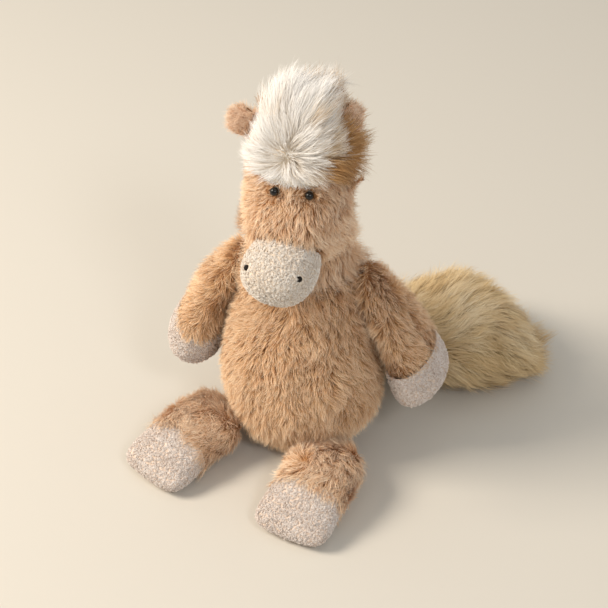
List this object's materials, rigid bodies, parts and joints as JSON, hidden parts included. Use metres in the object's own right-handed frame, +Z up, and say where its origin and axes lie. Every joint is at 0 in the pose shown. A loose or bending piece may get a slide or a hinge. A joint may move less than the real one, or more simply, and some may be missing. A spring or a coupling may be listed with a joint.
{
  "type": "plush_horse",
  "caption": "A seated plush horse in tan fur with a shaggy cream forelock, boucle muzzle and hooves, bead eyes and a long beige tail.",
  "frame": {"origin": "middle of the flat seat that the toy sits on", "axes": "+Z up; the horse faces -Y, its own left side is +X"},
  "size_m": [0.2742, 0.336, 0.3358],
  "materials": {
    "tan_fur": "medium-length tan faux fur",
    "cream_fur": "long off-white faux fur",
    "tail_fur": "long beige faux fur",
    "oat_boucle": "looped cream boucle fleece",
    "ear_lining": "short pinkish plush",
    "black_bead": "polished black",
    "black_thread": "stitched black thread",
    "fibre_stuffing": "loose polyester fibre",
    "bean_pouch": "plain woven pouch",
    "nylon_washer": "moulded nylon"
  },
  "bodies": {
    "torso": {"torso_cover": "tan_fur", "torso_stuffing": "fibre_stuffing", "bean_bag": "bean_pouch"},
    "neck": {"neck_stuffing": "fibre_stuffing"},
    "head": {"head_cover": "tan_fur", "head_stuffing": "fibre_stuffing", "muzzle_cover": "oat_boucle", "muzzle_stuffing": "fibre_stuffing", "nostril_left": "black_thread", "nostril_right": "black_thread", "eye_left": "black_bead", "eye_right": "black_bead", "eye_washer_left": "nylon_washer", "eye_washer_right": "nylon_washer", "forelock": "cream_fur", "mane": "tan_fur"},
    "ear_left": {"ear_back_left": "tan_fur", "ear_lining_left": "ear_lining"},
    "ear_right": {"ear_back_right": "tan_fur", "ear_lining_right": "ear_lining"},
    "arm_left": {"arm_cover_left": "tan_fur", "fore_hoof_left": "oat_boucle", "arm_stuffing_left": "fibre_stuffing"},
    "arm_right": {"arm_cover_right": "tan_fur", "fore_hoof_right": "oat_boucle", "arm_stuffing_right": "fibre_stuffing"},
    "leg_left": {"leg_cover_left": "tan_fur", "hind_hoof_left": "oat_boucle", "leg_stuffing_left": "fibre_stuffing"},
    "leg_right": {"leg_cover_right": "tan_fur", "hind_hoof_right": "oat_boucle", "leg_stuffing_right": "fibre_stuffing"},
    "tail": {"tail_cover": "tail_fur", "tail_core": "fibre_stuffing"}
  },
  "joints": [
    {"name": "neck_turn", "type": "hinge", "parent": "torso", "child": "neck", "pos_m": [0, 0, 0.176], "axis": [0, 0, 1], "range_deg": [-45, 30]},
    {"name": "head_nod", "type": "hinge", "parent": "neck", "child": "head", "pos_m": [0, 0, 0.176], "axis": [0.9659, 0.2588, 0], "range_deg": [-20, 10]},
    {"name": "ear_fold_left", "type": "hinge", "parent": "head", "child": "ear_left", "pos_m": [0.03806, 0.01848, 0.282], "axis": [0.2985, 0.08, -0.9511], "range_deg": [-6, 40]},
    {"name": "ear_fold_right", "type": "hinge", "parent": "head", "child": "ear_right", "pos_m": [-0.04198, -0.00504, 0.282], "axis": [0.2985, 0.08, 0.9511], "range_deg": [-25, 20]},
    {"name": "shoulder_swing_left", "type": "hinge", "parent": "torso", "child": "arm_left", "pos_m": [0.04929, 0.00869, 0.152], "axis": [-0.9366, -0.1651, -0.309], "range_deg": [-40, 72]},
    {"name": "shoulder_swing_right", "type": "hinge", "parent": "torso", "child": "arm_right", "pos_m": [-0.04958, -0.00874, 0.152], "axis": [-0.9366, -0.1651, 0.309], "range_deg": [-40, 72]},
    {"name": "hip_fold_left", "type": "hinge", "parent": "torso", "child": "leg_left", "pos_m": [0.03931, -0.04366, 0.024], "axis": [-0.7431, -0.6691, 0], "range_deg": [-60, 20]},
    {"name": "hip_fold_right", "type": "hinge", "parent": "torso", "child": "leg_right", "pos_m": [-0.04236, -0.04091, 0.024], "axis": [-0.6947, 0.7193, 0], "range_deg": [-60, 20]},
    {"name": "tail_swing", "type": "hinge", "parent": "torso", "child": "tail", "pos_m": [0.01498, 0.05592, 0.03], "axis": [0, 0, 1], "range_deg": [-5, 55]}
  ]
}
